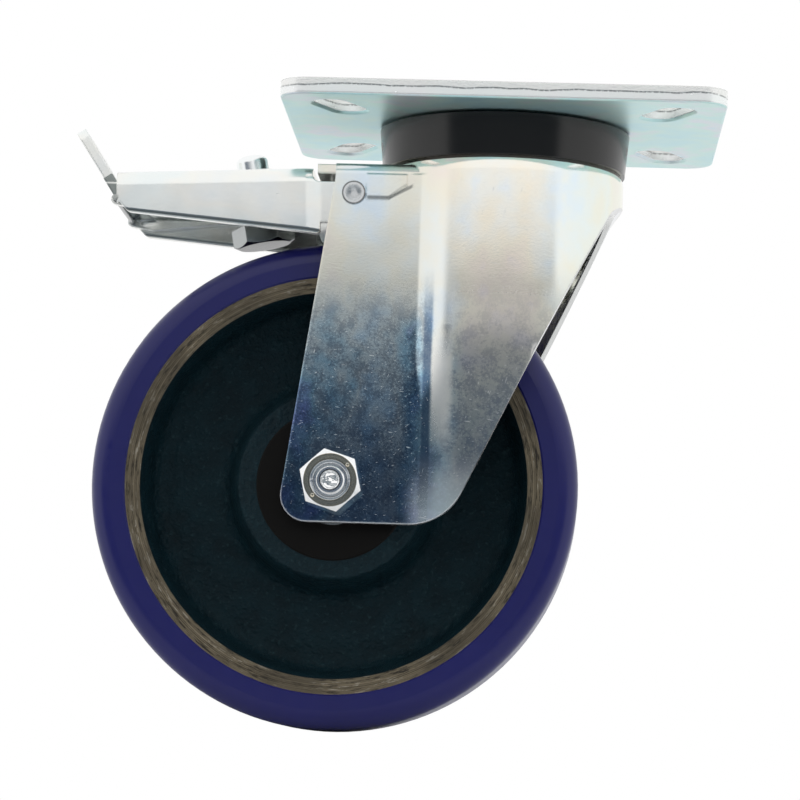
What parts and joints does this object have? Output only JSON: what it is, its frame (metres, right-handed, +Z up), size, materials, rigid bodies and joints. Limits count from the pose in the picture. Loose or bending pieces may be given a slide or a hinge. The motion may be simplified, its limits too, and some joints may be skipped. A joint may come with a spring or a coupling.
{
  "type": "swivel castor",
  "caption": "Swivel castor with a slotted top plate, pressed steel fork, pedal brake that also locks the swivel, and a cast wheel with a blue tread.",
  "frame": {"origin": "centre of the plate's top face, on the swivel axis", "axes": "+Z up out of the plate's top face along the swivel axis, +X along the plate away from the side to which the wheel trails, +Y across the plate along the axle"},
  "size_m": [0.2013, 0.11, 0.1945],
  "materials": {
    "plate_zinc": "blue-white zinc plating",
    "fork_zinc": "blue-white zinc plating",
    "pedal_zinc": "blue-white zinc plating",
    "bolt_zinc": "bright zinc plating",
    "race_steel": "ground bearing steel",
    "spring_steel": "oiled spring steel",
    "seal_black": "glossy black moulding",
    "cover_black": "satin black moulding",
    "cage_plastic": "natural plastic",
    "painted_iron": "dark teal paint over grey cast iron",
    "blue_tread": "smooth dark blue polyurethane"
  },
  "bodies": {
    "plate": {"mounting_plate": "plate_zinc", "king_bolt": "bolt_zinc", "king_sleeve": "race_steel", "lower_race": "bolt_zinc", "lock_ring": "bolt_zinc", "king_washer": "bolt_zinc", "king_nut": "bolt_zinc"},
    "swivel_row": {"upper_balls": "race_steel", "lower_balls": "race_steel"},
    "fork": {"fork": "fork_zinc", "seal_ring": "seal_black", "axle_bolt": "bolt_zinc", "axle_nut": "bolt_zinc", "axle_tube": "race_steel", "spacer_centre": "race_steel", "spacer_near": "bolt_zinc", "spacer_far": "bolt_zinc", "inner_race_near": "race_steel", "inner_race_far": "race_steel", "brake_pivot": "bolt_zinc", "pedal_spring": "spring_steel"},
    "wheel": {"wheel_core": "painted_iron", "tyre": "blue_tread", "outer_race_near": "race_steel", "outer_race_far": "race_steel", "bearing_cover_near": "cover_black", "bearing_cover_far": "cover_black"},
    "bearing_row": {"bearing_balls_near": "race_steel", "bearing_balls_far": "race_steel", "ball_cage_near": "cage_plastic", "ball_cage_far": "cage_plastic"},
    "pedal": {"brake_pedal": "pedal_zinc", "screw_boss": "pedal_zinc", "brake_screw": "bolt_zinc", "brake_lock_nut": "bolt_zinc", "lock_plate": "pedal_zinc", "release_pin": "bolt_zinc"},
    "release_lever": {"release_lever": "pedal_zinc"}
  },
  "joints": [
    {"name": "swivel", "type": "hinge", "parent": "plate", "child": "fork", "pos_m": [0, 0, 0], "axis": [0, 0, 1], "continuous": true},
    {"name": "swivel_balls_roll", "type": "hinge", "parent": "plate", "child": "swivel_row", "pos_m": [0, 0, 0], "axis": [0, 0, 1], "continuous": true},
    {"name": "wheel_spin", "type": "hinge", "parent": "fork", "child": "wheel", "pos_m": [-0.049, 0, -0.1195], "axis": [0, 1, 0], "continuous": true},
    {"name": "bearing_balls_roll", "type": "hinge", "parent": "fork", "child": "bearing_row", "pos_m": [-0.049, 0, -0.1195], "axis": [0, 1, 0], "continuous": true},
    {"name": "pedal_press", "type": "hinge", "parent": "fork", "child": "pedal", "pos_m": [-0.0453, 0, -0.0302], "axis": [0, -1, 0], "range_deg": [0, 7], "stiffness_Nm_per_rad": 2, "springref_deg": -14.32, "deforming": ["pedal_spring"]},
    {"name": "release_tilt", "type": "hinge", "parent": "pedal", "child": "release_lever", "pos_m": [-0.1191, 0, -0.0332], "axis": [0, 1, 0], "range_deg": [0, 8]}
  ],
  "couplings": [
    {"joint": "swivel_balls_roll", "follows": "swivel", "ratio": 0.5},
    {"joint": "bearing_balls_roll", "follows": "wheel_spin", "ratio": 0.618}
  ]
}
